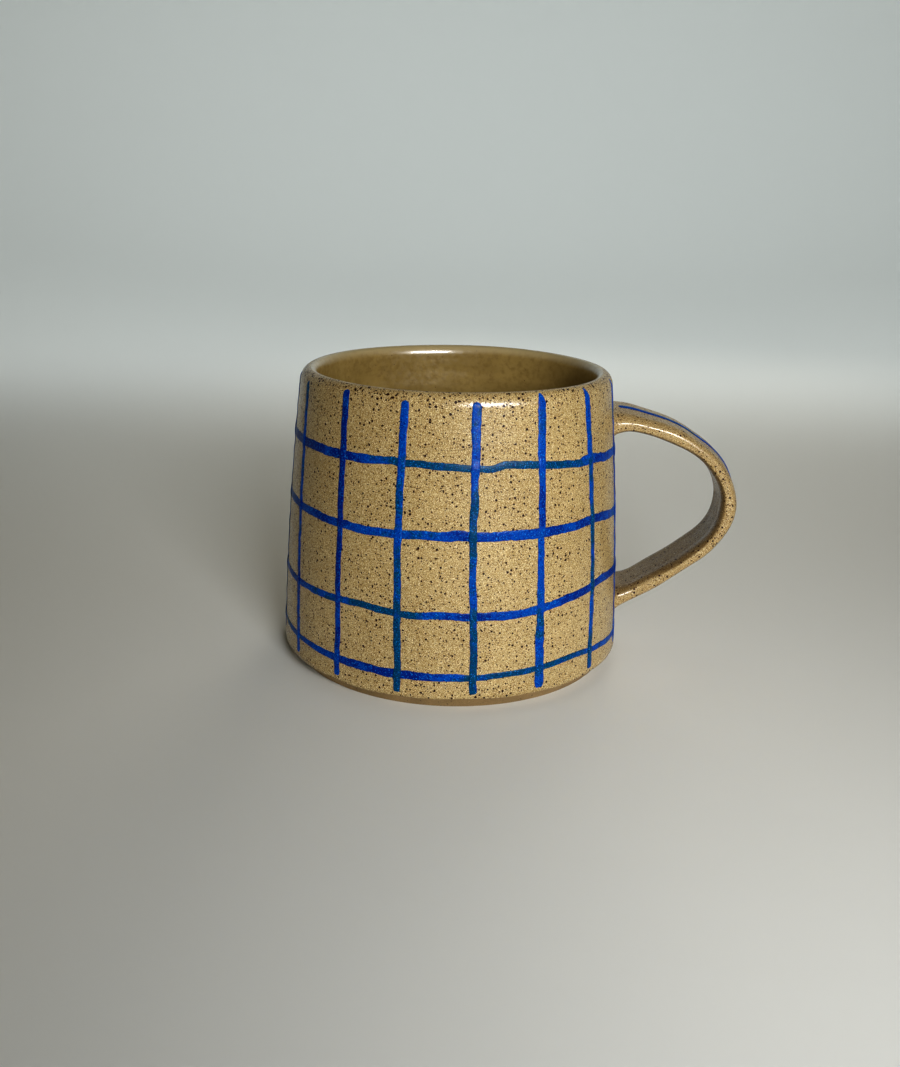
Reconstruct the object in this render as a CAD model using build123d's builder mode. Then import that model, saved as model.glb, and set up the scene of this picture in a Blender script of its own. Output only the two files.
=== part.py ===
from build123d import *
import math
import os

# A hand-thrown stoneware mug: a clay body with an ear-shaped strap handle, a speckled coat of glaze
# outside, a plain one inside, and a grid of brush strokes painted on the outer coat.
# Millimetres. The origin is the centre of the foot, +Z is up and the handle points along +X.

# ---- driving dimensions: body ----
mug_height = 80.0
foot_radius = 44.7        # flat face that stands on the table
bevel_width = 3.0         # bare, bevelled edge between the foot and the wall
bevel_height = 3.6
wall_radius_mid = 45.7    # outside, half way up: the wall bulges a little
wall_radius_top = 42.4    # outside, where the lip begins
lip_height = 3.6          # outer shoulder of the lip
lip_crest_radius = 39.6
mouth_radius = 37.8       # inside, where the lip ends
lip_inner_height = 2.6
cavity_radius = 43.2      # inside, at the foot of the wall
cavity_radius_mid = 41.5
floor_height = 5.6        # top of the floor, inside
floor_corner = 7.0        # radius between floor and wall, inside
glaze_thickness = 0.3

# ---- driving dimensions: handle ----
strap_thickness = 4.2
strap_width = 17.0
strap_edge = 1.6          # rounding of the strap's four edges
strap_start = (40.8, 66.6)   # distance from the axis and height, inside the wall at the upper root
strap_start_slope = 8.0      # degrees above level
strap_points = ((57.4, 64.9), (69.5, 58.0), (76.6, 44.5), (71.6, 32.4), (57.0, 21.0), (44.6, 14.6))
joint_length = 11.0       # how far the smoothed clay runs out along the strap's path
joint_side = 1.8          # how far it spreads past the strap's edges, at the wall
joint_edge = 0.5          # how far it still stands off the strap at its thin end
upper_joint_faces = (1.8, 0.9)   # spread past the strap's outer and inner face, at the wall
lower_joint_faces = (0.6, 1.3)

# ---- driving dimensions: painted grid ----
ring_paint = 0.12
stroke_paint = 0.25
ring_width = 2.2
ring_heights = {"upper": 62.0, "upper_middle": 45.7, "lower_middle": 26.2, "lower": 9.8}
stroke_width = 2.0
stroke_bottom = 4.4
# Degrees round the wall from the side opposite +Y, set out by eye, so the gaps are uneven.
stroke_angles = (-62, -39, -17, 7, 29.5, 52.5, 74.5, 105.5, 127, 149, 170, 192, 213, 235, 257, 277)
handle_stroke_end = 50.0     # distance from the axis where the handle's stroke begins and ends

os.makedirs("parts", exist_ok=True)


def save(part, name):
    """Label a finished piece and write it as a STEP of the same name."""
    part.label = name
    export_step(part, "parts/" + name + ".step")


# ---- body and coats: half sections, with x the distance from the axis and y the height ----
wall_foot = (foot_radius + bevel_width, bevel_height)
wall_middle = (wall_radius_mid, mug_height / 2)
wall_head = (wall_radius_top, mug_height - lip_height)
bevel_slope = bevel_height / bevel_width


def mug_section(inset):
    """The half section between the axis and the mug's surface, moved in by a coat's thickness."""
    foot_edge = (wall_foot[0] - inset, wall_foot[1] - inset * bevel_slope)
    shoulder = (wall_head[0] - inset, wall_head[1])
    mouth = (mouth_radius + inset, mug_height - lip_inner_height)
    corner_top = (cavity_radius + inset, floor_height + floor_corner)
    corner_end = (cavity_radius - floor_corner, floor_height - inset)
    crest_height = mug_height - inset
    with BuildSketch() as section:
        with BuildLine():
            Polyline((0, 0), (foot_radius, 0), foot_edge)
            ThreePointArc(foot_edge, (wall_middle[0] - inset, wall_middle[1]), shoulder)
            EllipticalCenterArc((lip_crest_radius, shoulder[1]), shoulder[0] - lip_crest_radius,
                                crest_height - shoulder[1], arc_size=90)
            EllipticalCenterArc((lip_crest_radius, mouth[1]), lip_crest_radius - mouth[0],
                                crest_height - mouth[1], start_angle=90, arc_size=90)
            ThreePointArc(mouth, (cavity_radius_mid + inset, mug_height / 2), corner_top)
            RadiusArc(corner_top, corner_end, floor_corner + inset)
            Polyline(corner_end, (0, floor_height - inset), (0, 0))
        make_face()
    return section.sketch


# Everything inside the middle of the wall and the crest of the lip.
with BuildSketch() as inner_half:
    with BuildLine():
        Polyline((0, floor_height / 2), (cavity_radius + 2, floor_height / 2),
                 (lip_crest_radius, wall_head[1]), (lip_crest_radius, mug_height + 1),
                 (0, mug_height + 1), close=True)
    make_face()

with BuildPart() as thrown_body:
    with BuildSketch(Plane.XZ):
        add(mug_section(glaze_thickness))
    revolve(axis=Axis.Z)
save(thrown_body.part, "thrown_body")

with BuildPart() as liner_glaze:
    with BuildSketch(Plane.XZ):
        add(mug_section(0))
        add(mug_section(glaze_thickness), mode=Mode.SUBTRACT)
        add(inner_half.sketch, mode=Mode.INTERSECT)
    revolve(axis=Axis.Z)
save(liner_glaze.part, "liner_glaze")

# ---- handle: a strap swept along tangent arcs, wrapped in smoothed clay at both roots ----
with BuildLine(Plane.XZ) as strap_line:
    slope = math.radians(strap_start_slope)
    span = TangentArc(strap_start, strap_points[0], tangent=(math.cos(slope), math.sin(slope)))
    for point in strap_points[1:]:
        span = TangentArc(span @ 1, point, tangent=span % 1)
strap_path = strap_line.wires()[0]


def strap_plane(distance):
    """The plane across the strap at a distance along its path, with y towards its outer face."""
    at = distance / strap_path.length
    return Plane(origin=strap_path @ at, x_dir=(0, 1, 0), z_dir=strap_path % at)


def swept_strap(coat):
    """The strap with a coat of the given thickness on it."""
    with BuildPart() as strap:
        with BuildSketch(strap_plane(0)):
            RectangleRounded(strap_width + 2 * coat, strap_thickness + 2 * coat, strap_edge + coat)
        sweep(path=strap_path)
    return strap.part


def joint_block(wall_end, strap_end, faces, coat):
    """A flared block round the strap, from inside the wall to its thin end along the strap."""
    outer, inner = faces
    run = strap_end - wall_end + math.copysign(coat, strap_end - wall_end)
    flare = ((0, 1.0), (0.5, 0.4), (1, 0))     # share of the run, share of the spread at the wall
    with BuildPart() as block:
        for along, share in flare:
            side = joint_edge + (joint_side - joint_edge) * share + coat
            over = joint_edge + (outer - joint_edge) * share + coat
            under = joint_edge + (inner - joint_edge) * share + coat
            with BuildSketch(strap_plane(wall_end + along * run)):
                with Locations((0, (over - under) / 2)):
                    RectangleRounded(strap_width + 2 * side, strap_thickness + over + under,
                                     strap_edge + min(side, over, under))
        loft()
    return block.part


with BuildPart() as handle_strap:
    add(swept_strap(0))
    add(thrown_body.part, mode=Mode.SUBTRACT)
save(handle_strap.part, "handle_strap")

upper_joint = (0, joint_length, upper_joint_faces)
lower_joint = (strap_path.length, strap_path.length - joint_length, lower_joint_faces)

with BuildPart() as upper_joint_clay:
    add(joint_block(*upper_joint, 0))
    add(swept_strap(0), mode=Mode.SUBTRACT)
    add(thrown_body.part, mode=Mode.SUBTRACT)
save(upper_joint_clay.part, "upper_joint_clay")

with BuildPart() as lower_joint_clay:
    add(joint_block(*lower_joint, 0))
    add(swept_strap(0), mode=Mode.SUBTRACT)
    add(thrown_body.part, mode=Mode.SUBTRACT)
save(lower_joint_clay.part, "lower_joint_clay")

with BuildPart() as coated_handle:
    add(swept_strap(glaze_thickness))
    add(joint_block(*upper_joint, glaze_thickness))
    add(joint_block(*lower_joint, glaze_thickness))

with BuildPart() as handle_glaze:
    add(coated_handle.part)
    for clay in (thrown_body, handle_strap, upper_joint_clay, lower_joint_clay):
        add(clay.part, mode=Mode.SUBTRACT)
save(handle_glaze.part, "handle_glaze")

with BuildPart() as outer_glaze:
    with BuildSketch(Plane.XZ):
        add(mug_section(0))
        add(mug_section(glaze_thickness), mode=Mode.SUBTRACT)
        add(inner_half.sketch, mode=Mode.SUBTRACT)
    revolve(axis=Axis.Z)
    add(coated_handle.part, mode=Mode.SUBTRACT)
save(outer_glaze.part, "outer_glaze")

# ---- painted grid: rings first, then upright strokes over them ----
with BuildLine() as wall_line:
    wall_arc = ThreePointArc(wall_foot, wall_middle, wall_head)
bulge_centre = wall_arc.arc_center
bulge_radius = wall_arc.radius


def paint_section(low, high, thickness):
    """A thin layer on the wall between two heights."""
    def on_wall(height, stand_off):
        reach = math.sqrt((bulge_radius + stand_off) ** 2 - (height - bulge_centre.Y) ** 2)
        return (bulge_centre.X + reach, height)

    middle = (low + high) / 2
    with BuildSketch() as section:
        with BuildLine():
            ThreePointArc(on_wall(low, 0), on_wall(middle, 0), on_wall(high, 0))
            Line(on_wall(high, 0), on_wall(high, thickness))
            ThreePointArc(on_wall(high, thickness), on_wall(middle, thickness),
                          on_wall(low, thickness))
            Line(on_wall(low, thickness), on_wall(low, 0))
        make_face()
    return section.sketch


rings = []
for name, height in ring_heights.items():
    with BuildPart() as ring_stroke:
        with BuildSketch(Plane.XZ):
            add(paint_section(height - ring_width / 2, height + ring_width / 2, ring_paint))
        revolve(axis=Axis.Z)
    rings.append(ring_stroke.part)
    save(ring_stroke.part, name + "_ring_stroke")

stroke_arc = math.degrees(stroke_width / wall_radius_mid)
facing = -90      # the side opposite +Y, as a turn about Z from +X
for number, angle in enumerate(stroke_angles, start=1):
    start = facing + angle - stroke_arc / 2
    with BuildPart() as upright_stroke:
        with BuildSketch(Plane.XZ.rotated((0, 0, start))):
            add(paint_section(stroke_bottom, wall_head[1], stroke_paint))
        revolve(axis=Axis.Z, revolution_arc=stroke_arc)
        for ring in rings:
            add(ring, mode=Mode.SUBTRACT)
    save(upright_stroke.part, f"upright_stroke_{number:02d}")

with BuildPart() as handle_stroke:
    paint_height = strap_thickness / 2 + glaze_thickness + stroke_paint / 2
    with BuildSketch(strap_plane(0)):
        with Locations((0, paint_height)):
            Rectangle(stroke_width, stroke_paint)
    sweep(path=strap_path)
    with BuildSketch(Plane.YZ.offset(handle_stroke_end)):
        Rectangle(strap_width, 3 * mug_height)
    extrude(amount=mug_height, mode=Mode.INTERSECT)
    add(coated_handle.part, mode=Mode.SUBTRACT)
save(handle_stroke.part, "handle_stroke")
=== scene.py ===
import math

import bmesh
import bpy
import numpy as np
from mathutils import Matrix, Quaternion, Vector, noise
from mathutils.bvhtree import BVHTree


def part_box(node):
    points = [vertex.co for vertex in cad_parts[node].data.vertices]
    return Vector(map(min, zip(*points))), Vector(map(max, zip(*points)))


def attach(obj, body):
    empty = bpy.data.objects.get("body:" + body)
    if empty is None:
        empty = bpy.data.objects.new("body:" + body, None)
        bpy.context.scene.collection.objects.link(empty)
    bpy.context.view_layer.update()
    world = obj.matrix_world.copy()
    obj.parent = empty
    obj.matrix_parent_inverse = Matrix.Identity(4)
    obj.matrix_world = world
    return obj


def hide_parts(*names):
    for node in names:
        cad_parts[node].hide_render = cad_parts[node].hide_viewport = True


# A hand-thrown stoneware mug with a painted grid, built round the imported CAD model.
# Shapes are worked out in millimetres, and mesh_piece() turns them into metres.

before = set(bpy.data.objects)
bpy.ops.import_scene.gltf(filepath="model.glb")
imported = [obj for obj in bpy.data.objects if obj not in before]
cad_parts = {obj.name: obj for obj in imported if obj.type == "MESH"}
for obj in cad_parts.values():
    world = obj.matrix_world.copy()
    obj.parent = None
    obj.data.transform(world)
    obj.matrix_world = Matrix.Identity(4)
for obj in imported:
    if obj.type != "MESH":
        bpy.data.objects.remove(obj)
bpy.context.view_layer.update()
MM = 0.001

# ---------------------------------------------------------------- sizes, millimetres
glaze_low, glaze_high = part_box("outer_glaze")
HEIGHT = glaze_high.z / MM
WALL_FOOT = (-glaze_low.x / MM, 3.6)      # widest point of the wall, above the bevel
WALL_MIDDLE = (45.7, HEIGHT / 2)
WALL_HEAD = (42.4, HEIGHT - 3.6)
CREST = 39.6                              # distance of the lip's crest from the axis
MOUTH = (37.8, HEIGHT - 2.6)
CAVITY_MIDDLE = (41.5, HEIGHT / 2)
CAVITY_FOOT = (43.2, 12.6)
FLOOR = 5.6
CORNER = 7.0
FOOT = 44.7
FOOT_EDGE = 0.6                           # rounding of the foot's edge
DISH = 0.35                               # how far the underside is hollowed
COAT = 0.3
RING_PAINT = 0.12
UPRIGHT_PAINT = 0.20
AROUND = 288                              # sides of every turned piece
SHARP = 60                                # degrees between faces that makes an edge sharp
WELD = 0.0005                             # points nearer to each other than this become one
HIDDEN_SHARE = 0.05                       # share of its UV length that a hidden stretch keeps


# ---------------------------------------------------------------- lines in the mug's half section
def arc_through(a, b, c, count):
    """Points of the circle's arc from a through b to c."""
    (ax, ay), (bx, by), (cx, cy) = a, b, c
    d = 2 * (ax * (by - cy) + bx * (cy - ay) + cx * (ay - by))
    ux = ((ax**2 + ay**2) * (by - cy) + (bx**2 + by**2) * (cy - ay) + (cx**2 + cy**2) * (ay - by)) / d
    uy = ((ax**2 + ay**2) * (cx - bx) + (bx**2 + by**2) * (ax - cx) + (cx**2 + cy**2) * (bx - ax)) / d
    radius = math.hypot(ax - ux, ay - uy)
    start = math.atan2(ay - uy, ax - ux)
    turn = (math.atan2(cy - uy, cx - ux) - start + math.pi) % (2 * math.pi) - math.pi
    angles = start + turn * np.linspace(0, 1, count)
    return np.stack([ux + radius * np.cos(angles), uy + radius * np.sin(angles)], 1)


def ellipse(centre, across, up, start, end, count):
    """Points of an ellipse's arc between two angles in degrees."""
    angles = np.radians(np.linspace(start, end, count))
    return np.stack([centre[0] + across * np.cos(angles), centre[1] + up * np.sin(angles)], 1)


def straight(a, b, count):
    """Evenly spaced points from a to b."""
    return np.stack([np.linspace(a[0], b[0], count), np.linspace(a[1], b[1], count)], 1)


def joined(*runs):
    """The runs one after the other, without their repeated end points."""
    return np.concatenate([runs[0]] + [run[1:] for run in runs[1:]])


def run_along(line):
    """Distance along a line of points, from its first one."""
    return np.concatenate([[0], np.cumsum(np.linalg.norm(np.diff(line, axis=0), axis=1))])


def offset_line(line, distance):
    """The line moved sideways, to the right of its direction of travel."""
    along = np.gradient(line, axis=0)
    along /= np.linalg.norm(along, axis=1)[:, None]
    return line + distance * np.stack([along[:, 1], -along[:, 0]], 1)


outer_line = joined(
    arc_through(WALL_FOOT, WALL_MIDDLE, WALL_HEAD, 80),
    ellipse((CREST, WALL_HEAD[1]), WALL_HEAD[0] - CREST, HEIGHT - WALL_HEAD[1], 0, 90, 20),
)
floor_corner = (CAVITY_FOOT[0] - CORNER, CAVITY_FOOT[1])
inner_line = joined(
    ellipse((CREST, MOUTH[1]), CREST - MOUTH[0], HEIGHT - MOUTH[1], 90, 180, 12),
    arc_through(MOUTH, CAVITY_MIDDLE, CAVITY_FOOT, 70),
    ellipse(floor_corner, CORNER, CORNER, 0, -90, 14),
    straight((floor_corner[0], FLOOR), (0, FLOOR), 40),
)
outer_run = run_along(outer_line)
outer_normal = offset_line(outer_line, 1.0) - outer_line


def wall_radius(height):
    """Distance of the outer wall from the axis at a height."""
    return np.interp(height, outer_line[:, 1], outer_line[:, 0])


def wall_run(height):
    """Distance up the outer line at a height."""
    return np.interp(height, outer_line[:, 1], outer_run)


# ---------------------------------------------------------------- hand-made unevenness
def uneven(theta, radius, height):
    """Moves points of the thrown body off the true circle: a slightly oval mouth, a lip that isn't
    quite level, throwing ridges on the wall and a spiral on the floor inside."""
    share = np.clip(height / HEIGHT, 0, 1)
    oval = 0.20 * np.sin(2 * theta + 0.6) + 0.08 * np.sin(3 * theta + 2.1)
    level = 0.16 * np.sin(theta + 0.4) + 0.10 * np.sin(2 * theta + 1.7) + 0.05 * np.sin(5 * theta)
    waves = np.sin(2 * math.pi * height / 6.7 + theta) + 0.6 * np.sin(2 * math.pi * height / 4.1 - theta)
    inside = radius < 45.6 - 0.07 * height
    ridge = np.where(inside, 0.10, 0.04) * np.clip(height / 12, 0, 1)
    ridge = ridge * np.clip((HEIGHT - 3 - height) / 8, 0, 1)
    on_floor = inside & (height > FLOOR / 2) & (height < FLOOR + 1.5)
    spiral = 0.12 * np.sin(2 * math.pi * radius / 6.5 - theta) * np.clip(radius / 5, 0, 1)
    spiral = np.where(on_floor, spiral * np.clip((floor_corner[0] - radius) / 5, 0, 1), 0)
    reach = np.clip(radius / 10, 0, 1)
    return radius + (share * oval + ridge * waves) * reach, height + share**6 * level + spiral


def around(theta, radius, height):
    """Cylinder coordinates to points. Theta is 0 on the -Y side and grows towards the handle."""
    return np.stack([radius * np.sin(theta), -radius * np.cos(theta), height], -1)


def wobble(distance, wavelength, seed):
    """Smooth noise between about -1 and 1 along a line."""
    return np.array([noise.noise(Vector((d / wavelength, seed * 7.31, 0.5))) for d in distance]) * 1.6


def smooth_through(points, spacing):
    """A smooth open line through the given rows (Catmull-Rom), with points a spacing apart."""
    p = np.asarray(points, float)
    p = np.concatenate([[2 * p[0] - p[1]], p, [2 * p[-1] - p[-2]]])
    out = []
    for i in range(1, len(p) - 2):
        for t in np.linspace(0, 1, 40, endpoint=False):
            out.append(0.5 * (2 * p[i] + (p[i + 1] - p[i - 1]) * t
                              + (2 * p[i - 1] - 5 * p[i] + 4 * p[i + 1] - p[i + 2]) * t**2
                              + (3 * p[i] - p[i - 1] - 3 * p[i + 1] + p[i + 2]) * t**3))
    out = np.array(out + [p[-2]])
    length = run_along(out[:, :2])
    even = np.linspace(0, length[-1], max(int(length[-1] / spacing), 2))
    return np.stack([np.interp(even, length, out[:, k]) for k in range(out.shape[1])], 1)


# ---------------------------------------------------------------- meshes
def mesh_piece(name, grid, node, material, loop_across=True, loop_along=False, caps=False,
               across_uv=None, values=None):
    """A piece from a grid of points in millimetres, rows along it and columns across it, that stands
    in for its CAD node. Its outside is where (along x across) points."""
    rows, columns = grid.shape[:2]
    corners = [(i, j) for i in range(rows - (not loop_along)) for j in range(columns - (not loop_across))]
    faces = [(i * columns + j, (i + 1) % rows * columns + j,
              (i + 1) % rows * columns + (j + 1) % columns, i * columns + (j + 1) % columns)
             for i, j in corners]
    if caps:
        faces.append(tuple(range(columns)))
        faces.append(tuple(rows * columns - 1 - j for j in range(columns)))
    mesh = bpy.data.meshes.new(name)
    mesh.from_pydata((grid.reshape(-1, 3) * MM).tolist(), [], faces)

    along_uv = np.linspace(0, 1, rows + 1 if loop_along else rows)
    if across_uv is None:
        across_uv = np.linspace(0, 1, columns + 1 if loop_across else columns)
    uv = [(along_uv[i + di], across_uv[j + dj])
          for i, j in corners for di, dj in ((0, 0), (1, 0), (1, 1), (0, 1))]
    layer = mesh.uv_layers.new(name="OFBake")
    uv += [(0.0, 0.0)] * (len(layer.data) - len(uv))
    layer.data.foreach_set("uv", np.array(uv, np.float32).ravel())
    for key, column in (values or {}).items():
        attribute = mesh.attributes.new(key, "FLOAT", "POINT")
        attribute.data.foreach_set("value", np.asarray(column, np.float32).ravel())

    # Points that meet on the axis or at a stroke's tip become one.
    welded = bmesh.new()
    welded.from_mesh(mesh)
    bmesh.ops.remove_doubles(welded, verts=welded.verts, dist=WELD * MM)
    welded.to_mesh(mesh)
    welded.free()
    mesh.polygons.foreach_set("use_smooth", [True] * len(mesh.polygons))
    mesh.set_sharp_from_angle(angle=math.radians(SHARP))

    piece = bpy.data.objects.new(name, mesh)
    bpy.context.scene.collection.objects.link(piece)
    mesh.materials.append(material)
    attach(piece, "root")
    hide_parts(node)
    return piece


# ---------------------------------------------------------------- turned clay and its coats
def turned(name, node, material, section, closed, shown):
    """A half section turned about the axis. The stretch of it that shows gets most of the UV area."""
    theta = np.linspace(0, 2 * math.pi, AROUND, endpoint=False)
    t, r = np.meshgrid(theta, section[:, 0], indexing="ij")
    _, z = np.meshgrid(theta, section[:, 1], indexing="ij")
    radius, height = uneven(t, r, z)
    foot_wave = 0.12 * np.sin(7 * t + 1.0) + 0.08 * np.sin(16 * t) + 0.10 * np.sin(3 * t + 0.5)
    height = height + foot_wave * np.exp(-((z - WALL_FOOT[1]) / 1.2) ** 2) * (r > CAVITY_FOOT[0] + 2)
    steps = np.diff(run_along(np.concatenate([section, section[:1]]) if closed else section))
    steps[:shown.start] *= HIDDEN_SHARE
    steps[shown.stop:] *= HIDDEN_SHARE
    across_uv = np.concatenate([[0], np.cumsum(steps)]) / steps.sum()
    return mesh_piece(name, around(t, radius, height), node, material, loop_across=closed,
                      loop_along=True, across_uv=across_uv)


def clay_body(material):
    """Bare clay: a slightly hollowed foot, a trimmed bevel, and what lies under the coats."""
    side = offset_line(outer_line, -COAT)
    inside = offset_line(inner_line, -COAT)
    inside[-1, 0] = 0
    hollow = straight((0, DISH), (FOOT - 9, DISH), 24)
    foot = straight((FOOT - 7.5, 0), (FOOT - FOOT_EDGE, 0), 10)
    edge = ellipse((FOOT - FOOT_EDGE, FOOT_EDGE), FOOT_EDGE, FOOT_EDGE, -90, -40, 6)
    bevel = straight(edge[-1], side[0], 8)
    section = np.concatenate([hollow, joined(foot, edge, bevel, side), inside[1:]])
    shown = slice(0, len(hollow) + len(foot) + len(edge) + len(bevel))
    return turned("clay_body", "thrown_body", material, section, False, shown)


def outer_coat(material):
    """The speckled coat, from its rolled lower edge over the shoulder to the crest of the lip."""
    shown = outer_line.copy()
    shown[:, 0] += 0.10 * np.exp(-((shown[:, 1] - WALL_FOOT[1] - 1.2) / 1.0) ** 2)
    under = offset_line(outer_line, -COAT)[::-1]
    lower_edge = (shown[0] + under[-1]) / 2 + (0.02, -0.10)
    section = np.concatenate([shown, under, [lower_edge]])
    return turned("speckled_coat", "outer_glaze", material, section, True,
                  slice(0, len(shown)))


def inner_coat(material):
    """The plain coat, from the crest of the lip down the wall and over the floor."""
    under = offset_line(inner_line, -COAT)[::-1]
    under[0, 0] = 0
    section = np.concatenate([under, inner_line])
    return turned("liner_coat", "liner_glaze", material, section, False,
                  slice(len(under), len(section)))


# ---------------------------------------------------------------- handle
STRAP_WIDTH = (17.4, 16.6)      # at the upper and at the lower root
STRAP_THICKNESS = 4.2
STRAP_SQUARENESS = (2.9, 4.6)   # of the outer and the inner half: 2 is an ellipse, more is squarer
STRAP_TWIST = 5.0               # degrees that the strap leans towards -Y at its upper root
STRAP_LINE = ((41.0, 66.7), (47.0, 67.2), (52.3, 66.3), (58.6, 64.4), (64.4, 61.6), (70.2, 57.4),
              (74.6, 51.6), (76.6, 45.0), (75.6, 38.6), (71.8, 32.6), (66.0, 27.6), (59.0, 22.7),
              (52.0, 18.4), (44.6, 14.8))     # distance from the axis and height
UPPER_SPREAD = {"outer": 1.5, "inner": 0.6, "side": 1.6, "reach": 8.5}
LOWER_SPREAD = {"outer": 0.4, "inner": 1.2, "side": 1.6, "reach": 8.0}
JOINT_REACH = 11.0
ROOT_SINK = 0.6                 # how far the handle's coat starts inside the wall
POOL = 0.7                      # extra glaze in the corner at the wall
RING_COLUMNS = 72
FRAME_STEP = 0.6                # the strap's direction is taken between points this far behind and ahead

strap_line = smooth_through(STRAP_LINE, 0.2)
strap_run = run_along(strap_line)
wall_beside = wall_radius(strap_line[:, 1])
strap_start = strap_run[np.flatnonzero(strap_line[:, 0] > wall_beside - ROOT_SINK)[0]]
strap_end = strap_run[np.flatnonzero(strap_line[:, 0] > wall_beside)[-1]]
strap_length = strap_end - strap_start


def strap_frame(distance):
    """Centre, direction and outward normal of the strap, as (x, z) rows, at distances from its root."""
    at = np.asarray(distance, float) + strap_start
    centre = np.stack([np.interp(at, strap_run, strap_line[:, k]) for k in (0, 1)], -1)
    ahead = np.stack([np.interp(at + FRAME_STEP, strap_run, strap_line[:, k]) for k in (0, 1)], -1)
    behind = np.stack([np.interp(at - FRAME_STEP, strap_run, strap_line[:, k]) for k in (0, 1)], -1)
    along = (ahead - behind) / np.linalg.norm(ahead - behind, axis=-1, keepdims=True)
    return centre, along, np.stack([-along[..., 1], along[..., 0]], -1)


def strap_half_width(distance):
    """Half the strap's width, which narrows unevenly towards the lower root."""
    upper, lower = STRAP_WIDTH
    share = np.asarray(distance) / strap_length
    return (upper + (lower - upper) * share + 0.35 * np.sin(share * 9 + 1)) / 2


def spread_at(distance, key):
    """How far the smoothed clay stands out past the strap, near either root."""
    total = 0
    for root, away in ((UPPER_SPREAD, distance), (LOWER_SPREAD, strap_length - distance)):
        shape = np.clip(1 - away / root["reach"], 0, 1) ** 2.2
        total = total + root[key] * shape + POOL * np.clip(1 - away / 1.8, 0, 1) ** 2
    return total


def strap_rings(distance, inset, spread):
    """Rings round the strap at distances from its root, moved in by an inset, as a grid of points."""
    d = np.asarray(distance, float)[:, None]
    angle = np.linspace(0, 2 * math.pi, RING_COLUMNS, endpoint=False)[None, :]
    side, face = np.sin(angle), np.cos(angle)
    shape = 2 / np.where(face > 0, *STRAP_SQUARENESS)
    half_width = strap_half_width(d) + spread * spread_at(d, "side") - inset
    over = STRAP_THICKNESS / 2 + spread * spread_at(d, "outer") - inset
    under = STRAP_THICKNESS / 2 + spread * spread_at(d, "inner") - inset
    u = half_width * np.sign(side) * np.abs(side) ** shape
    v = np.where(face > 0, over, under) * np.sign(face) * np.abs(face) ** shape
    # Marks of the pulling fingers, which fade out near the roots.
    pull = 0.10 * np.cos(u * 2 * math.pi / 6.0) + 0.14 * np.sin(d / 5.3 + 0.15 * u) + 0.08 * np.sin(d / 2.3)
    v = v + pull * np.clip(face * 2, -1, 1) * np.clip(d / 6, 0, 1) * np.clip((strap_length - d) / 6, 0, 1)
    twist = np.radians(STRAP_TWIST) * (1 - d / strap_length)
    u, v = u * np.cos(twist) - v * np.sin(twist), v * np.cos(twist) + u * np.sin(twist)
    centre, along, normal = strap_frame(d[:, 0])
    x = centre[:, :1] + normal[:, :1] * v
    z = centre[:, 1:] + normal[:, 1:] * v
    y = u + 0.25 * np.sin(d / 17 + 0.4)
    # The rings near the wall bend to follow it.
    for end, away in ((0, d), (-1, strap_length - d)):
        if away.min() > 0.5:
            continue
        wall = np.sqrt(wall_radius(z[end]) ** 2 - y[end] ** 2) - ROOT_SINK
        slide = (wall - x[end]) / along[end, 0]
        weight = np.clip(1 - away / 10, 0, 1) ** 2
        x = x + along[:, :1] * slide * weight
        z = z + along[:, 1:] * slide * weight
    return np.stack([x, y, z], -1)


def strap_stations(start, end, count):
    """Distances along the strap, close together near a root."""
    share = np.linspace(start / strap_length, end / strap_length, count)
    return strap_length * (share - 0.9 * np.sin(2 * math.pi * share) / (2 * math.pi))


def handle_coat(material):
    """The glaze over the strap and its smoothed roots, open where it meets the wall."""
    stations = strap_stations(0, strap_length, 170)
    grid = np.concatenate([strap_rings(stations, 0, 1), strap_rings(stations, COAT, 1)[::-1]])
    return mesh_piece("handle_coat", grid, "handle_glaze", material, loop_along=True)


def handle_clay(material):
    """The strap, and the clay smoothed round its two roots."""
    stations = strap_stations(0, strap_length, 110)
    strap = strap_rings(stations, COAT, 0)
    mesh_piece("handle_clay", strap, "handle_strap", material, caps=True)
    for name, near in (("upper_joint", stations < JOINT_REACH),
                       ("lower_joint", stations > strap_length - JOINT_REACH)):
        collar = np.concatenate([strap_rings(stations, COAT, 1)[near], strap[near][::-1]])
        mesh_piece(name + "_smoothed", collar, name + "_clay", material, loop_along=True)


# ---------------------------------------------------------------- brush strokes
CHART_RADIUS = 45.0    # the wall's chart is x = angle times this radius, y = distance up the outer line
STROKE_ROWS = 0.45     # spacing of a stroke's rows
STROKE_BURY = 0.12     # how deep a stroke's underside lies in the coat
TOP_COLUMNS = 9        # points across a stroke's top; two more make its underside
RAY_START = 12         # distance from the strap's middle that its outer face is looked for from


def on_wall(x, y, lift):
    """Chart coordinates on the outer wall to points, standing off it by a lift."""
    theta = x / CHART_RADIUS
    radius, height = (np.interp(y, outer_run, outer_line[:, k]) for k in (0, 1))
    out, up = (np.interp(y, outer_run, outer_normal[:, k]) for k in (0, 1))
    radius, height = uneven(theta, radius, height)
    return around(theta, radius + out * lift, height + up * lift)


def wall_chart(angle, height):
    """An angle in degrees and a height on the wall to chart coordinates."""
    return math.radians(angle) * CHART_RADIUS, float(wall_run(height))


def surface_of(piece):
    """A chart on the strap's outer face, as it is in that piece: distance from the root, and sideways."""
    corners = [vertex.co for vertex in piece.data.vertices]
    tree = BVHTree.FromPolygons(corners, [face.vertices for face in piece.data.polygons])

    def on_handle(x, y, lift):
        centre, _, normal = strap_frame(x)
        points = []
        for (cx, cz), (nx, nz), sideways, stand in zip(centre, normal, y, lift):
            out = Vector((nx, 0, nz))
            above = (Vector((cx, sideways, cz)) + out * RAY_START) * MM
            points.append(tree.ray_cast(above, -out)[0] / MM + out * stand)
        return np.array(points)

    return on_handle


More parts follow.
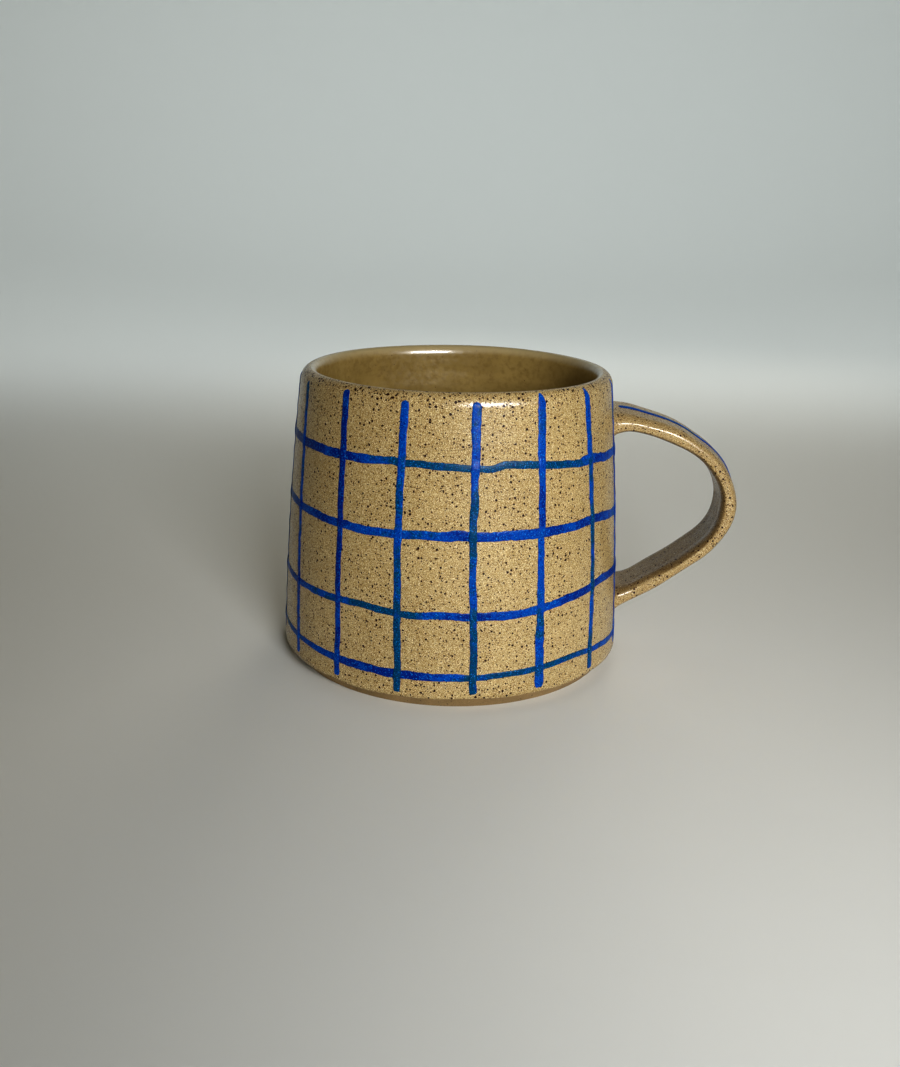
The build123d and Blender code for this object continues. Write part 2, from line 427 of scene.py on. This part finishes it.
def brush_stroke(name, node, material, points, surface, paint, seed, lift=None, tip=1.0):
    """One stroke of paint along (x, y, width, thinness) rows on a surface's chart: a low domed band
    with uneven edges, a round end, and a start that comes to its width over a tip's length."""
    line = smooth_through(points, STROKE_ROWS)
    run = run_along(line[:, :2])
    ahead = np.gradient(line[:, :2], axis=0)
    ahead /= np.linalg.norm(ahead, axis=1)[:, None]
    side = np.stack([-ahead[:, 1], ahead[:, 0]], 1)
    sway = 0.14 * wobble(run, 8.0, seed) + 0.05 * wobble(run, 2.2, seed + 20)
    middle = line[:, :2] + side * sway[:, None]
    half = line[:, 2] / 2
    from_end = np.clip(np.minimum(run / np.maximum(tip, half), (run[-1] - run) / half), 0, 1)
    rounding = np.sqrt(1 - (1 - from_end) ** 2)
    rounding[run < tip] **= max(1.0, tip / 2)
    ragged = [1 + 0.12 * wobble(run, 5.0, seed + s) + 0.09 * wobble(run, 1.1, seed + s + 9)
              for s in (31, 47)]
    edges = [half * rounding * share for share in ragged]
    base = np.zeros(len(run)) if lift is None else lift(middle)

    top_columns = np.sin(np.linspace(-math.pi / 2, math.pi / 2, TOP_COLUMNS))
    across = np.concatenate([top_columns, [0.85, -0.85]])
    on_top = np.arange(len(across)) < TOP_COLUMNS
    dome = np.where(on_top, np.sqrt(1 - np.clip(np.abs(across), 0, 1) ** 4), 0)
    load = 1 + 0.15 * wobble(run, 4.0, seed + 60)
    grid = []
    for c, top, height in zip(across, on_top, dome):
        place = middle + side * (c * edges[int(c > 0)])[:, None]
        stand = base + paint * load * height * rounding if top else base * 0
        grid.append(surface(place[:, 0], place[:, 1], stand - STROKE_BURY * (0.3 if top else 1.0)))
    grid = np.stack(grid, 1)
    thin = np.repeat((line[:, 3] + 0.25 * wobble(run, 9.0, seed + 80))[:, None], len(across), 1)
    rim = np.repeat(np.abs(across)[None, :], len(run), 0)
    return mesh_piece(name, grid, node, material, values={"thin": thin, "rim": rim})


# The painted grid. A ring's rows are angle, height, width and thinness, from behind round the left side,
# the front and the handle to behind again. Thin paint is teal, thick paint is cobalt.
RINGS = {
    "upper": ((-184, 62.7, 2.0, 0.4), (-147, 62.6, 2.2, 0.2), (-103, 63.3, 2.3, 0.3),
              (-62, 63.0, 2.5, 0.0), (-39, 63.0, 2.4, -0.2), (-24, 63.3, 2.1, 0.4), (-17, 63.4, 2.0, 0.7),
              (5, 62.7, 1.8, 0.9), (12, 62.5, 1.8, 0.8), (19, 63.3, 1.9, 0.9), (38, 61.9, 1.9, 0.8),
              (45, 61.6, 2.2, 0.5), (51, 61.8, 2.6, 0.0), (75, 60.2, 2.5, 0.1), (105, 60.2, 2.2, 0.6),
              (149, 61.9, 2.1, 0.8), (186, 62.9, 2.1, 0.3)),
    "upper_middle": ((-176, 46.2, 2.3, 0.2), (-125, 45.4, 2.2, 0.5), (-83, 46.0, 2.3, 0.3),
                     (-45, 45.6, 2.2, 0.1), (-28, 45.4, 2.3, 0.4), (-12, 46.0, 2.3, 0.5), (5, 46.1, 2.7, 0.0),
                     (35, 45.7, 2.7, 0.0), (55, 45.7, 2.4, 0.0), (75, 43.9, 2.5, 0.1), (105, 44.3, 2.4, 0.4),
                     (150, 46.1, 2.2, 0.2), (194, 46.0, 2.3, 0.3)),
    "lower_middle": ((-180, 27.0, 2.1, 0.2), (-125, 25.6, 2.0, 0.6), (-80, 25.2, 2.0, 0.3),
                     (-50, 25.4, 2.0, 0.3), (-30, 26.1, 2.0, 0.7), (-14, 25.4, 1.9, 0.9), (0, 25.8, 2.1, 0.0),
                     (18, 25.5, 2.2, 0.0), (35, 26.6, 2.4, 0.1), (58, 28.2, 2.3, 0.0), (75, 27.3, 2.6, 0.1),
                     (105, 25.8, 2.3, 0.5), (150, 26.8, 2.1, 0.3), (190, 26.7, 2.0, 0.3)),
    "lower": ((-170, 10.3, 2.1, 0.3), (-125, 9.4, 2.0, 0.2), (-75, 10.0, 1.6, 0.5), (-45, 9.7, 1.9, 0.2),
              (-20, 9.5, 2.4, 0.0), (0, 9.5, 2.2, 0.1), (10, 9.4, 1.6, 0.7), (30, 10.3, 1.6, 0.7),
              (45, 10.6, 1.6, 0.7), (58, 9.6, 1.7, 0.3), (75, 8.4, 2.1, 0.2), (110, 8.6, 2.0, 0.3),
              (150, 10.1, 2.2, 0.6), (200, 9.7, 2.0, 0.2)),
}
# An upright's rows are its angle at the top, middle and bottom, its width there and its thinness there,
# then how far below the lip's crest it starts and how long its tip is.
UPRIGHTS = (
    ((-64.6, -62.6, -59.6), (2.0, 1.8, 1.8), (0.3, 0.2, 0.1), 3.0, 2.0),
    ((-39.6, -38.6, -37.7), (2.3, 1.9, 1.8), (-0.2, -0.3, 0.0), 2.3, 1.2),
    ((-16.5, -17.0, -15.8), (2.2, 1.9, 1.9), (0.1, 0.5, 0.9), 3.2, 1.0),
    ((6.7, 6.5, 7.6), (2.5, 1.9, 1.9), (0.1, 0.6, 0.6), 3.0, 1.6),
    ((29.1, 29.1, 29.0), (2.7, 1.9, 2.8), (0.3, 0.2, 0.2), 0.9, 4.0),
    ((50.2, 52.6, 51.6), (2.6, 1.8, 2.0), (0.3, 0.6, 0.5), 0.9, 4.5),
    ((75.8, 75.6, 75.2), (2.0, 1.8, 1.9), (0.3, 0.1, 0.2), 1.6, 3.0),
    ((105.0, 105.6, 106.2), (2.1, 1.9, 2.2), (0.1, 0.2, -0.1), 2.2, 1.2),
    ((127.6, 126.8, 126.4), (2.3, 1.8, 1.9), (0.4, 0.6, 0.3), 1.2, 3.6),
    ((148.6, 149.2, 148.9), (2.4, 2.0, 1.8), (0.1, -0.1, 0.0), 2.8, 1.2),
    ((169.5, 170.3, 170.6), (2.1, 1.8, 2.4), (0.6, 0.4, 0.7), 2.0, 2.4),
    ((192.6, 192.0, 191.2), (2.3, 1.9, 1.9), (0.2, 0.0, 0.2), 1.0, 4.2),
    ((212.7, 213.3, 213.4), (2.2, 1.8, 2.0), (-0.2, 0.1, 0.0), 3.1, 1.0),
    ((235.8, 235.0, 234.6), (2.4, 1.9, 1.8), (0.5, 0.3, 0.1), 2.4, 1.4),
    ((256.4, 257.1, 257.6), (2.2, 2.0, 2.1), (0.1, 0.0, -0.2), 1.1, 3.4),
    ((276.4, 277.2, 277.9), (2.1, 1.8, 2.2), (0.3, 0.5, 0.2), 2.6, 1.2),
)
UPRIGHT_BOTTOM = 4.5
HANDLE_STROKE_ENDS = (2.0, 5.0)     # distances from the upper and lower root


def painted_rings(material):
    """Each ring starts behind and laps a little over its own beginning."""
    for number, (name, rows) in enumerate(RINGS.items()):
        chart = [(*wall_chart(angle, height), width, thin) for angle, height, width, thin in rows]
        full_turn = chart[0][0] + 2 * math.pi * CHART_RADIUS

        def over_its_start(middle, full_turn=full_turn):
            return RING_PAINT * np.clip((middle[:, 0] - full_turn) / 1.5 + 1, 0, 1)

        brush_stroke(f"{name}_ring_brushed", f"{name}_ring_stroke", material, chart, on_wall, RING_PAINT,
                     100 + 10 * number, over_its_start)


def over_rings(middle):
    """How far an upright stands off the wall where it crosses a ring."""
    angle = np.degrees(middle[:, 0] / CHART_RADIUS)
    lift = np.zeros(len(middle))
    for rows in RINGS.values():
        table = np.array(rows)
        for turn in (-360, 0, 360):
            inside = (angle + turn >= table[0, 0]) & (angle + turn <= table[-1, 0])
            height = np.interp(angle + turn, table[:, 0], table[:, 1])
            width = np.interp(angle + turn, table[:, 0], table[:, 2])
            ring = wall_run(height)
            near = np.exp(-(np.abs(middle[:, 1] - ring) / (width / 2 + 0.5)) ** 4)
            lift = np.maximum(lift, RING_PAINT * near * inside)
    return lift


def painted_uprights(material):
    """The sixteen upright strokes, brushed over the rings from the lip nearly down to the bevel."""
    for number, (angles, widths, thin, start, tip) in enumerate(UPRIGHTS, start=1):
        top = outer_run[-1] - start
        bottom = wall_chart(0, UPRIGHT_BOTTOM + 0.8 * noise.noise(Vector((number * 1.7, 5.3, 0))))[1]
        rows = [(math.radians(angle) * CHART_RADIUS, y, width, share)
                for angle, y, width, share in zip(angles, (top, (top + bottom) / 2, bottom), widths, thin)]
        brush_stroke(f"upright_{number:02d}_brushed", f"upright_stroke_{number:02d}", material, rows, on_wall,
                     UPRIGHT_PAINT, 200 + 10 * number, over_rings, tip)


def painted_handle(material, coat):
    """The stroke down the middle of the handle's outer face."""
    start, end = HANDLE_STROKE_ENDS
    rows = ((start, 0.2, 2.2, 0.2), (20, -0.3, 2.0, 0.3), (45, 0.3, 1.9, 0.1), (70, -0.2, 2.0, 0.4),
            (strap_length - end, 0.2, 2.2, 0.1))
    brush_stroke("handle_stroke_brushed", "handle_stroke", material, rows, surface_of(coat), UPRIGHT_PAINT,
                 400)


# ---------------------------------------------------------------- materials
def colour(red, green, blue):
    """A display colour, 0 to 255, as the linear colour that a node takes."""
    linear = [((c / 255 + 0.055) / 1.055) ** 2.4 if c > 10 else c / 255 / 12.92 for c in (red, green, blue)]
    return (*linear, 1.0)


class Nodes:
    """Short ways to add nodes to a material. Patterns are in millimetres of the mug's frame."""

    def __init__(self, name):
        self.material = bpy.data.materials.new(name)
        self.material.use_nodes = True
        self.tree = self.material.node_tree
        self.shader = self.tree.nodes["Principled BSDF"]
        place = self.add("ShaderNodeTexCoord").outputs["Object"]
        self.mm = self.add("ShaderNodeVectorMath", {0: place, "Scale": 1 / MM}, operation="SCALE").outputs[0]

    def add(self, kind, inputs=None, **settings):
        """A node with some inputs linked or set."""
        node = self.tree.nodes.new(kind)
        for key, value in settings.items():
            setattr(node, key, value)
        for key, value in (inputs or {}).items():
            self.put(node.inputs[key], value)
        return node

    def put(self, socket, value):
        """Links a socket to another node's output, or sets its value."""
        if isinstance(value, bpy.types.NodeSocket):
            self.tree.links.new(value, socket)
        else:
            socket.default_value = value

    def math(self, operation, a, b=0.0):
        return self.add("ShaderNodeMath", {0: a, 1: b}, operation=operation).outputs[0]

    def noise(self, size, detail=2.0, roughness=0.5, shift=0.0, where=None):
        """Noise with lumps about that many millimetres across."""
        vector = self.add("ShaderNodeVectorMath", {0: where or self.mm, 1: (shift, shift, shift)}).outputs[0]
        return self.add("ShaderNodeTexNoise", {"Vector": vector, "Scale": 1 / size, "Detail": detail,
                                               "Roughness": roughness}).outputs[0]

    def ramp(self, value, low, high, at_low=0.0, at_high=1.0):
        """A smooth step of the value between two levels."""
        return self.add("ShaderNodeMapRange", {0: value, 1: low, 2: high, 3: at_low, 4: at_high},
                        interpolation_type="SMOOTHSTEP").outputs[0]

    def mix(self, share, a, b, blend="MIX"):
        return self.add("ShaderNodeMix", {0: share, 6: a, 7: b}, data_type="RGBA",
                        blend_type=blend).outputs[2]

    def warped(self, amount, size):
        """The place, pushed about by noise, for outlines that aren't round."""
        push = self.add("ShaderNodeTexNoise", {"Vector": self.mm, "Scale": 1 / size,
                                               "Detail": 1.0}).outputs["Color"]
        centred = self.add("ShaderNodeVectorMath", {0: push, 1: (0.5, 0.5, 0.5)},
                           operation="SUBTRACT").outputs[0]
        scaled = self.add("ShaderNodeVectorMath", {0: centred, "Scale": amount * 2},
                          operation="SCALE").outputs[0]
        return self.add("ShaderNodeVectorMath", {0: self.mm, 1: scaled}).outputs[0]

    def specks(self, where, cell, radius, soft, bigger=0.0):
        """1 inside grains scattered through the coat, one to a cell, of mixed sizes up to the radius."""
        cells = self.add("ShaderNodeTexVoronoi", {"Vector": where, "Scale": 1 / cell})
        chance = self.add("ShaderNodeSeparateColor", {0: cells.outputs["Color"]}).outputs[0]
        size = self.ramp(chance, 0.0, 1.0, 0.4 * radius / cell, radius / cell)
        size = self.math("ADD", size, bigger)
        inside = self.math("SUBTRACT", size, cells.outputs["Distance"])
        return self.ramp(inside, 0.0, soft / cell)

    def facing(self, line):
        """How squarely the surface faces a line along Y, given by its place across and its height."""
        x, z = line
        middle = self.add("ShaderNodeVectorMath", {0: self.mm, 1: (0, 1, 0), 2: (x, 0, z)},
                          operation="MULTIPLY_ADD").outputs[0]
        towards = self.add("ShaderNodeVectorMath", {0: middle, 1: self.mm}, operation="SUBTRACT").outputs[0]
        level = self.add("ShaderNodeVectorMath", {0: towards}, operation="NORMALIZE").outputs[0]
        normal = self.add("ShaderNodeNewGeometry").outputs["Normal"]
        return self.add("ShaderNodeVectorMath", {0: normal, 1: level},
                        operation="DOT_PRODUCT").outputs["Value"]

    def bump(self, height, distance, strength=1.0, under=None):
        """Relief of a height from 0 to 1 times a distance in millimetres, on top of the relief under it."""
        inputs = {"Height": height, "Distance": distance * MM, "Strength": strength}
        if under is not None:
            inputs["Normal"] = under
        return self.add("ShaderNodeBump", inputs).outputs[0]

    def surface(self, **sockets):
        """Sets the shader's sockets and gives the finished material."""
        for key, value in sockets.items():
            self.put(self.shader.inputs[key.replace("_", " ")], value)
        return self.material


def speckled_glaze(name, ripple, brown, shade_line=None):
    """Satin tan glaze that melts over a speckled clay: sandy grain, brown iron specks, pale flecks.
    Ripple is how much its gloss is broken up, and brown how far it is darkened towards brown: painted shade.
    Where it faces a line through the handle's opening it is darker still: painted shade inside the handle."""
    n = Nodes(name)
    tan = n.mix(n.ramp(n.noise(26, 3), 0.35, 0.65), colour(174, 147, 95), colour(186, 159, 107))
    tan = n.mix(n.ramp(n.noise(3.2, 3, shift=40), 0.45, 0.70, 0, 0.3), tan, colour(158, 131, 76))
    tan = n.mix(n.ramp(n.noise(0.20, 2, 0.7, shift=80), 0.50, 0.59, 0, 0.95), tan, colour(114, 86, 46))
    tan = n.mix(n.ramp(n.noise(0.20, 2, 0.7, shift=120), 0.53, 0.61, 0, 0.95), tan, colour(238, 222, 178))
    # Darkened towards brown by the brown share: painted shade, used on the handle
    tan = n.mix(brown, tan, colour(120, 90, 60))
    # Painted shade: darker where the surface faces the line through the handle's opening
    if shade_line:
        tan = n.mix(n.ramp(n.facing(shade_line), 0.3, 0.9, 0, 0.6), tan, colour(84, 62, 34))
    warped = n.warped(0.16, 0.5)
    height = n.add("ShaderNodeSeparateXYZ", {0: n.mm}).outputs[2]
    at_lip = n.ramp(height, HEIGHT - 6, HEIGHT - 0.5)
    more = n.math("MULTIPLY", at_lip, 0.06)
    grit = n.specks(warped, 0.72, 0.22, 0.04, more)
    iron = n.specks(warped, 1.15, 0.33, 0.05, more)
    halo = n.specks(warped, 1.15, 0.48, 0.35, more)
    base = n.mix(n.ramp(halo, 0, 1, 0, 0.35), tan, colour(120, 86, 44))
    base = n.mix(n.ramp(grit, 0, 1, 0, 0.95), base, colour(56, 26, 10))
    base = n.mix(iron, base, colour(44, 15, 6))
    dry = n.math("MAXIMUM", grit, iron)
    fleck = n.specks(n.warped(0.1, 0.4), 1.1, 0.18, 0.07)
    base = n.mix(n.ramp(fleck, 0, 1, 0, 0.6), base, colour(240, 224, 180))
    relief = n.bump(n.noise(2.4, 2, shift=200), 0.10, 0.5)
    relief = n.bump(n.noise(0.5, 2, 0.6, shift=160), 0.06, 1.0, relief)
    relief = n.bump(iron, 0.06, 0.8, relief)
    rough = n.ramp(n.noise(0.8, 2, shift=240), 0.35, 0.7, 0.40, 0.60)
    stronger = n.math("ADD", n.math("MULTIPLY", at_lip, 0.6), 1.0)
    melt = n.math("MULTIPLY", n.noise(0.45, 1.5, shift=280), stronger)
    gloss = n.bump(melt, 0.06, ripple)
    return n.surface(Base_Color=base, Roughness=rough, Normal=relief, IOR=1.5, Specular_IOR_Level=0.2,
                     Coat_Weight=n.ramp(dry, 0, 1, 0.65, 0.1), Coat_Roughness=0.07, Coat_IOR=1.5,
                     Coat_Normal=gloss)


def plain_glaze():
    """Satin olive-brown liner, cloudy, with a few specks showing through."""
    n = Nodes("plain_glaze")
    brown = n.mix(n.ramp(n.noise(18, 3, shift=11), 0.35, 0.65), colour(152, 129, 78), colour(168, 144, 90))
    brown = n.mix(n.ramp(n.noise(1.6, 3, 0.6, shift=51), 0.4, 0.7, 0, 0.5), brown, colour(132, 108, 60))
    specks = n.specks(n.warped(0.15, 0.5), 2.1, 0.28, 0.14)
    brown = n.mix(n.ramp(specks, 0, 1, 0, 0.6), brown, colour(84, 56, 30))
    height = n.add("ShaderNodeSeparateXYZ", {0: n.mm}).outputs[2]
    # Paler towards the lip's crest: a painted highlight on the rim
    brown = n.mix(n.ramp(height, HEIGHT - 2.5, HEIGHT - 0.3, 0, 0.7), brown, colour(196, 180, 142))
    relief = n.bump(n.noise(2.6, 2, shift=91), 0.10, 0.5)
    relief = n.bump(n.noise(0.5, 2, 0.6, shift=131), 0.03, 0.6, relief)
    rough = n.ramp(n.noise(1.2, 2, shift=171), 0.35, 0.7, 0.30, 0.48)
    return n.surface(Base_Color=brown, Roughness=rough, Normal=relief, IOR=1.5, Coat_Weight=1.0,
                     Coat_Roughness=0.20, Coat_IOR=1.5)


def bare_clay():
    """Fired brown stoneware without glaze: dry, with grog, dark iron grains and turning marks."""
    n = Nodes("bare_stoneware")
    clay = n.mix(n.ramp(n.noise(9, 3, shift=7), 0.35, 0.65), colour(150, 126, 86), colour(166, 140, 98))
    clay = n.mix(n.ramp(n.noise(0.45, 3, 0.7, shift=47), 0.48, 0.7, 0, 0.7), clay, colour(122, 98, 64))
    grog = n.specks(n.warped(0.15, 0.4), 1.1, 0.26, 0.08)
    clay = n.mix(n.ramp(grog, 0, 1, 0, 0.6), clay, colour(176, 146, 106))
    iron = n.specks(n.warped(0.15, 0.5), 1.7, 0.30, 0.10)
    clay = n.mix(iron, clay, colour(58, 36, 26))
    relief = n.bump(n.noise(0.5, 3, 0.7, shift=87), 0.08, 0.9)
    relief = n.bump(grog, 0.06, 0.6, relief)
    flat = n.add("ShaderNodeVectorMath", {0: n.mm, 1: (1, 1, 0)}, operation="MULTIPLY").outputs[0]
    radius = n.add("ShaderNodeVectorMath", {0: flat}, operation="LENGTH").outputs[1]
    marks = n.math("SINE", n.math("MULTIPLY", radius, 2 * math.pi / 1.3))
    relief = n.bump(marks, 0.03, 0.6, relief)
    return n.surface(Base_Color=clay, Roughness=0.82, Normal=relief, IOR=1.45)


def blue_paint():
    """Glossy blue with a grainy melt: dark cobalt where it is thickest, teal where it is thin."""
    n = Nodes("blue_paint")
    thin = n.add("ShaderNodeAttribute", attribute_name="thin").outputs["Fac"]
    rim = n.add("ShaderNodeAttribute", attribute_name="rim").outputs["Fac"]
    cloud = n.math("ADD", thin, n.ramp(n.noise(3.0, 3, 0.6, shift=13), 0.3, 0.7, -0.25, 0.25))
    blue = n.mix(n.ramp(cloud, -0.2, 0.25), colour(0, 42, 130), colour(0, 76, 170))
    blue = n.mix(n.ramp(cloud, 0.3, 0.7), blue, colour(2, 72, 104))
    blue = n.mix(n.ramp(n.noise(0.4, 2, 0.7, shift=53), 0.48, 0.66, 0, 0.7), blue, colour(0, 30, 98))
    blue = n.mix(n.ramp(n.noise(0.35, 2, 0.7, shift=93), 0.57, 0.66, 0, 0.85), blue, colour(34, 140, 222))
    blue = n.mix(n.ramp(rim, 0.75, 1.0, 0, 0.45), blue, colour(0, 40, 84))
    relief = n.bump(n.noise(0.45, 2.5, 0.7, shift=133), 0.08, 1.0)
    gloss = n.bump(n.noise(0.34, 2, 0.6, shift=173), 0.10, 1.0)
    return n.surface(Base_Color=blue, Roughness=0.42, Normal=relief, IOR=1.4, Specular_IOR_Level=0.1,
                     Coat_Weight=0.12, Coat_Roughness=0.05, Coat_IOR=1.5, Coat_Normal=gloss)


speckled = speckled_glaze("speckled_glaze", 0.9, 0.0)
smoother = speckled_glaze("handle_glaze", 0.3, 0.2, shade_line=(57, 42))
liner = plain_glaze()
clay = bare_clay()
blue = blue_paint()
clay_body(clay)
outer_coat(speckled)
inner_coat(liner)
coat_on_handle = handle_coat(smoother)
handle_clay(clay)
painted_rings(blue)
painted_uprights(blue)
painted_handle(blue, coat_on_handle)


# ---------------------------------------------------------------- stage, lights and camera, metres
STAGE_FLAT = 0.60        # radius of the flat floor
STAGE_RISE = 1.00        # radius and height of its turned-up edge
STAGE_TOP = 1.60         # top of the wall above that edge


def stage():
    """A plain pale floor whose edge curves up into a backdrop all round."""
    curl = [(STAGE_FLAT + STAGE_RISE * math.sin(a), STAGE_RISE * (1 - math.cos(a)))
            for a in np.linspace(0, math.pi / 2, 16)]
    profile = [(r, 0.0) for r in (0.001, 0.2, 0.5)] + curl + [(STAGE_FLAT + STAGE_RISE, STAGE_TOP)]
    turns = 96
    vertices = [(r * math.cos(2 * math.pi * k / turns), r * math.sin(2 * math.pi * k / turns), z)
                for r, z in profile for k in range(turns)]
    faces = [(i * turns + k, i * turns + (k + 1) % turns, (i + 1) * turns + (k + 1) % turns,
              (i + 1) * turns + k) for i in range(len(profile) - 1) for k in range(turns)]
    faces.append(tuple(range(turns)))
    mesh = bpy.data.meshes.new("floor")
    mesh.from_pydata(vertices, [], faces)
    mesh.polygons.foreach_set("use_smooth", [True] * len(mesh.polygons))
    n = Nodes("pale_floor")
    mesh.materials.append(n.surface(Base_Color=colour(230, 230, 227), Roughness=0.9, Specular_IOR_Level=0.2))
    floor = bpy.data.objects.new("floor", mesh)
    bpy.context.scene.collection.objects.link(floor)


def softbox(name, place, aim, width, depth, watts, tint, spread, mirrored=False):
    """A rectangular light at a place, facing another, with its beam's spread in degrees. A mirrored one
    only shows in the gloss of what it faces; the others only shed light."""
    light = bpy.data.lights.new(name, "AREA")
    light.shape = "RECTANGLE"
    light.size = width
    light.size_y = depth
    light.energy = watts
    light.color = tint
    light.spread = math.radians(spread)
    lamp = bpy.data.objects.new(name, light)
    lamp.location = place
    lamp.rotation_mode = "QUATERNION"
    lamp.rotation_quaternion = (Vector(aim) - Vector(place)).to_track_quat("-Z", "Y")
    lamp.visible_camera = False
    lamp.visible_glossy = mirrored
    lamp.visible_diffuse = not mirrored
    bpy.context.scene.collection.objects.link(lamp)


MUG_MIDDLE = Vector((0.0, 0.0, 0.04))


def at(bearing, distance, elevation):
    """The place at a bearing in degrees from the -Y side towards the handle, seen from the mug."""
    turn, climb = math.radians(bearing), math.radians(elevation)
    level = distance * math.cos(climb)
    up = distance * math.sin(climb)
    return MUG_MIDDLE + Vector((level * math.sin(turn), -level * math.cos(turn), up))


stage()
KEY_AIM = Vector((0.05, 0.02, 0.035))
softbox("key", at(18, 0.48, 20), KEY_AIM, 0.17, 0.14, 0.302, (0.97, 0.99, 1.0), 80)
softbox("window", at(25, 0.48, 20), KEY_AIM, 0.28, 0.13, 0.76, (0.98, 0.99, 1.0), 80, mirrored=True)
softbox("from_behind", at(165, 0.75, 14), MUG_MIDDLE, 0.40, 0.30, 0.17, (1.0, 0.93, 0.80), 50)
softbox("backdrop", (0.05, 0.15, 0.75), (0.05, 1.40, 0.50), 1.2, 0.5, 4.6, (0.87, 0.96, 1.0), 135)
softbox("back_floor", (0.08, 0.42, 0.80), (0.08, 0.40, 0.0), 1.3, 0.1, 0.36, (0.93, 0.98, 1.0), 60)
softbox("front_wall", (0.12, -0.12, 0.80), (1.0, -1.0, 0.50), 1.2, 0.5, 2.0, (0.95, 0.97, 1.0), 135)

world = bpy.data.worlds.new("studio")
bpy.context.scene.world = world
world.use_nodes = True
world.node_tree.nodes["Background"].inputs["Color"].default_value = (1.0, 0.80, 0.42, 1.0)
world.node_tree.nodes["Background"].inputs["Strength"].default_value = 0.05
bpy.context.scene.view_settings.view_transform = "Standard"
bpy.context.scene.view_settings.look = "High Contrast"

CAMERA_PLACE = Vector((0.0, -0.2887, 0.1267))
CAMERA_AIM = Vector((-0.0007, 0.0, 0.0320))
CAMERA_ROLL = 0.0248     # radians
lens = bpy.data.cameras.new("camera")
lens.lens = 35.83
lens.sensor_width = 36.0
lens.clip_start = 0.01
camera = bpy.data.objects.new("camera", lens)
camera.location = CAMERA_PLACE
camera.rotation_mode = "QUATERNION"
camera.rotation_quaternion = ((CAMERA_AIM - CAMERA_PLACE).to_track_quat("-Z", "Y")
                              @ Quaternion((0, 0, 1), CAMERA_ROLL))
bpy.context.scene.collection.objects.link(camera)
bpy.context.scene.camera = camera
